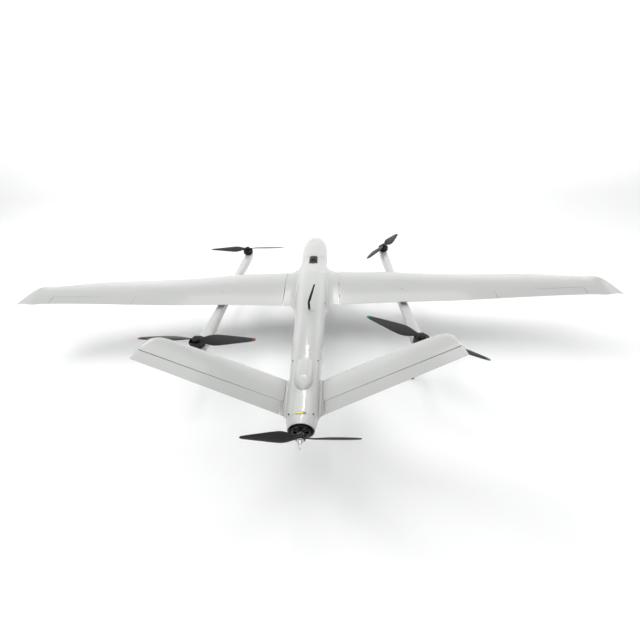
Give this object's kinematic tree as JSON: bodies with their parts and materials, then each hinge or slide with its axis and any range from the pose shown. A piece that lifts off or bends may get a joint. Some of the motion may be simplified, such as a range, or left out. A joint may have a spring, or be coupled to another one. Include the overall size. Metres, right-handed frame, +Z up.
{
  "type": "fixed wing drone",
  "caption": "Fixed wing drone with a V-tail, two booms carrying lift rotors under a slender wing, a pusher propeller and a sliding nose cover.",
  "frame": {"origin": "on the ground under the middle of the drone, at the centre of its bounding box's base", "axes": "+X is the right wing, +Y the nose, +Z up"},
  "size_m": [2.5, 1.4955, 0.4334],
  "materials": {
    "white_gelcoat": "gloss white composite gelcoat",
    "black_composite": "satin black carbon composite",
    "carbon": "woven carbon, satin clear coat",
    "black_anodised": "black anodised aluminium",
    "motor_core": "copper windings and laminations",
    "silver_metal": "machined, satin",
    "steel": "plain",
    "black_plastic": "fine moulded grain",
    "black_rubber": "matte",
    "dark_screw": "black oxide",
    "battery_wrap": "blue heat-shrink",
    "light_plastic": "fine moulded grain",
    "yellow_label": "printed vinyl label"
  },
  "bodies": {
    "airframe": {"fuselage_shell": "white_gelcoat", "nose_latch_plate": "black_plastic", "tail_cowl": "white_gelcoat", "motor_bulkhead": "carbon", "rear_blister": "white_gelcoat", "payload_plate": "carbon", "equipment_tray": "carbon", "battery_pack": "battery_wrap", "autopilot": "black_plastic", "satnav_puck": "light_plastic", "speed_controllers": "black_plastic", "wing_spars": "carbon", "wing_pins": "steel", "tail_spars": "carbon", "body_screws": "dark_screw", "wing_screws": "dark_screw", "tail_sticker": "yellow_label", "antenna_socket": "silver_metal", "pusher_stator": "motor_core", "left_wing": "white_gelcoat", "right_wing": "white_gelcoat", "left_tail_panel": "white_gelcoat", "right_tail_panel": "white_gelcoat", "servos": "black_plastic", "left_boom": "white_gelcoat", "right_boom": "white_gelcoat", "landing_legs": "carbon", "landing_feet": "black_rubber", "lift_stators": "motor_core"},
    "nose": {"nose_cover": "white_gelcoat"},
    "latch_slider": {"nose_latch_slider": "black_plastic"},
    "antenna_swivel": {"antenna_knuckle": "black_plastic"},
    "antenna_whip": {"antenna_whip": "black_plastic"},
    "pusher_rotor": {"pusher_bell": "black_anodised", "pusher_propeller": "black_composite", "pusher_nut": "silver_metal"},
    "front_left_rotor": {"front_left_bell": "black_anodised", "front_left_propeller": "black_composite"},
    "front_right_rotor": {"front_right_bell": "black_anodised", "front_right_propeller": "black_composite"},
    "rear_left_rotor": {"rear_left_bell": "black_anodised", "rear_left_propeller": "black_composite"},
    "rear_right_rotor": {"rear_right_bell": "black_anodised", "rear_right_propeller": "black_composite"},
    "left_aileron": {"left_aileron": "white_gelcoat", "left_aileron_horn": "black_plastic"},
    "left_aileron_arm": {"left_aileron_arm": "black_plastic"},
    "left_aileron_rod": {"left_aileron_rod": "steel"},
    "left_ruddervator": {"left_ruddervator": "white_gelcoat", "left_tail_horn": "black_plastic"},
    "left_tail_arm": {"left_tail_arm": "black_plastic"},
    "left_tail_rod": {"left_tail_rod": "steel"},
    "right_aileron": {"right_aileron": "white_gelcoat", "right_aileron_horn": "black_plastic"},
    "right_aileron_arm": {"right_aileron_arm": "black_plastic"},
    "right_aileron_rod": {"right_aileron_rod": "steel"},
    "right_ruddervator": {"right_ruddervator": "white_gelcoat", "right_tail_horn": "black_plastic"},
    "right_tail_arm": {"right_tail_arm": "black_plastic"},
    "right_tail_rod": {"right_tail_rod": "steel"}
  },
  "joints": [
    {"name": "nose_slide", "type": "slide", "parent": "airframe", "child": "nose", "axis": [0, 1, 0], "range_m": [0, 0.26]},
    {"name": "latch_slide", "type": "slide", "parent": "airframe", "child": "latch_slider", "axis": [0, -1, 0], "range_m": [0, 0.008]},
    {"name": "antenna_turn", "type": "hinge", "parent": "airframe", "child": "antenna_swivel", "pos_m": [0, -0.186, 0.25507], "axis": [0, 0, 1], "continuous": true},
    {"name": "antenna_tilt", "type": "hinge", "parent": "antenna_swivel", "child": "antenna_whip", "pos_m": [0, -0.186, 0.29107], "axis": [0, 1, 0], "range_deg": [-108, 72]},
    {"name": "pusher_spin", "type": "hinge", "parent": "airframe", "child": "pusher_rotor", "pos_m": [0, -0.698, 0.213], "axis": [0, 1, 0], "continuous": true},
    {"name": "front_left_spin", "type": "hinge", "parent": "airframe", "child": "front_left_rotor", "pos_m": [-0.41, 0.526, 0.2], "axis": [0, 0, 1], "continuous": true},
    {"name": "front_right_spin", "type": "hinge", "parent": "airframe", "child": "front_right_rotor", "pos_m": [0.41, 0.526, 0.2], "axis": [0, 0, 1], "continuous": true},
    {"name": "rear_left_spin", "type": "hinge", "parent": "airframe", "child": "rear_left_rotor", "pos_m": [-0.41, -0.333, 0.2], "axis": [0, 0, 1], "continuous": true},
    {"name": "rear_right_spin", "type": "hinge", "parent": "airframe", "child": "rear_right_rotor", "pos_m": [0.41, -0.333, 0.2], "axis": [0, 0, 1], "continuous": true},
    {"name": "left_aileron_hinge", "type": "hinge", "parent": "airframe", "child": "left_aileron", "pos_m": [-0.94076, -0.052, 0.24691], "axis": [0.9984, 0.0375, -0.0432], "range_deg": [-25, 25]},
    {"name": "left_aileron_arm_turn", "type": "hinge", "parent": "airframe", "child": "left_aileron_arm", "pos_m": [-0.94301, 0.00796, 0.24691], "axis": [0.9984, 0.0375, -0.0432], "range_deg": [-25, 25]},
    {"name": "left_aileron_rod_turn", "type": "hinge", "parent": "left_aileron_arm", "child": "left_aileron_rod", "pos_m": [-0.9437, 0.00793, 0.23092], "axis": [0.9984, 0.0375, -0.0432], "range_deg": [-25, 25]},
    {"name": "left_ruddervator_hinge", "type": "hinge", "parent": "airframe", "child": "left_ruddervator", "pos_m": [-0.19785, -0.6099, 0.30055], "axis": [0.8354, 0.0297, -0.5488], "range_deg": [-25, 25]},
    {"name": "left_tail_arm_turn", "type": "hinge", "parent": "airframe", "child": "left_tail_arm", "pos_m": [-0.19899, -0.56392, 0.3013], "axis": [0.8354, 0.0297, -0.5488], "range_deg": [-25, 25]},
    {"name": "left_tail_rod_turn", "type": "hinge", "parent": "left_tail_arm", "child": "left_tail_rod", "pos_m": [-0.20777, -0.56392, 0.28793], "axis": [0.8354, 0.0297, -0.5488], "range_deg": [-25, 25]},
    {"name": "right_aileron_hinge", "type": "hinge", "parent": "airframe", "child": "right_aileron", "pos_m": [0.94076, -0.052, 0.24691], "axis": [0.9984, -0.0375, 0.0432], "range_deg": [-25, 25]},
    {"name": "right_aileron_arm_turn", "type": "hinge", "parent": "airframe", "child": "right_aileron_arm", "pos_m": [0.94301, 0.00796, 0.24691], "axis": [0.9984, -0.0375, 0.0432], "range_deg": [-25, 25]},
    {"name": "right_aileron_rod_turn", "type": "hinge", "parent": "right_aileron_arm", "child": "right_aileron_rod", "pos_m": [0.9437, 0.00793, 0.23092], "axis": [0.9984, -0.0375, 0.0432], "range_deg": [-25, 25]},
    {"name": "right_ruddervator_hinge", "type": "hinge", "parent": "airframe", "child": "right_ruddervator", "pos_m": [0.19785, -0.6099, 0.30055], "axis": [0.8354, -0.0297, 0.5488], "range_deg": [-25, 25]},
    {"name": "right_tail_arm_turn", "type": "hinge", "parent": "airframe", "child": "right_tail_arm", "pos_m": [0.19899, -0.56392, 0.3013], "axis": [0.8354, -0.0297, 0.5488], "range_deg": [-25, 25]},
    {"name": "right_tail_rod_turn", "type": "hinge", "parent": "right_tail_arm", "child": "right_tail_rod", "pos_m": [0.20777, -0.56392, 0.28793], "axis": [0.8354, -0.0297, 0.5488], "range_deg": [-25, 25]}
  ],
  "couplings": [
    {"joint": "left_aileron_arm_turn", "follows": "left_aileron_hinge", "ratio": 1},
    {"joint": "left_aileron_rod_turn", "follows": "left_aileron_hinge", "ratio": -1},
    {"joint": "left_tail_arm_turn", "follows": "left_ruddervator_hinge", "ratio": 1},
    {"joint": "left_tail_rod_turn", "follows": "left_ruddervator_hinge", "ratio": -1},
    {"joint": "right_aileron_arm_turn", "follows": "right_aileron_hinge", "ratio": 1},
    {"joint": "right_aileron_rod_turn", "follows": "right_aileron_hinge", "ratio": -1},
    {"joint": "right_tail_arm_turn", "follows": "right_ruddervator_hinge", "ratio": 1},
    {"joint": "right_tail_rod_turn", "follows": "right_ruddervator_hinge", "ratio": -1}
  ]
}
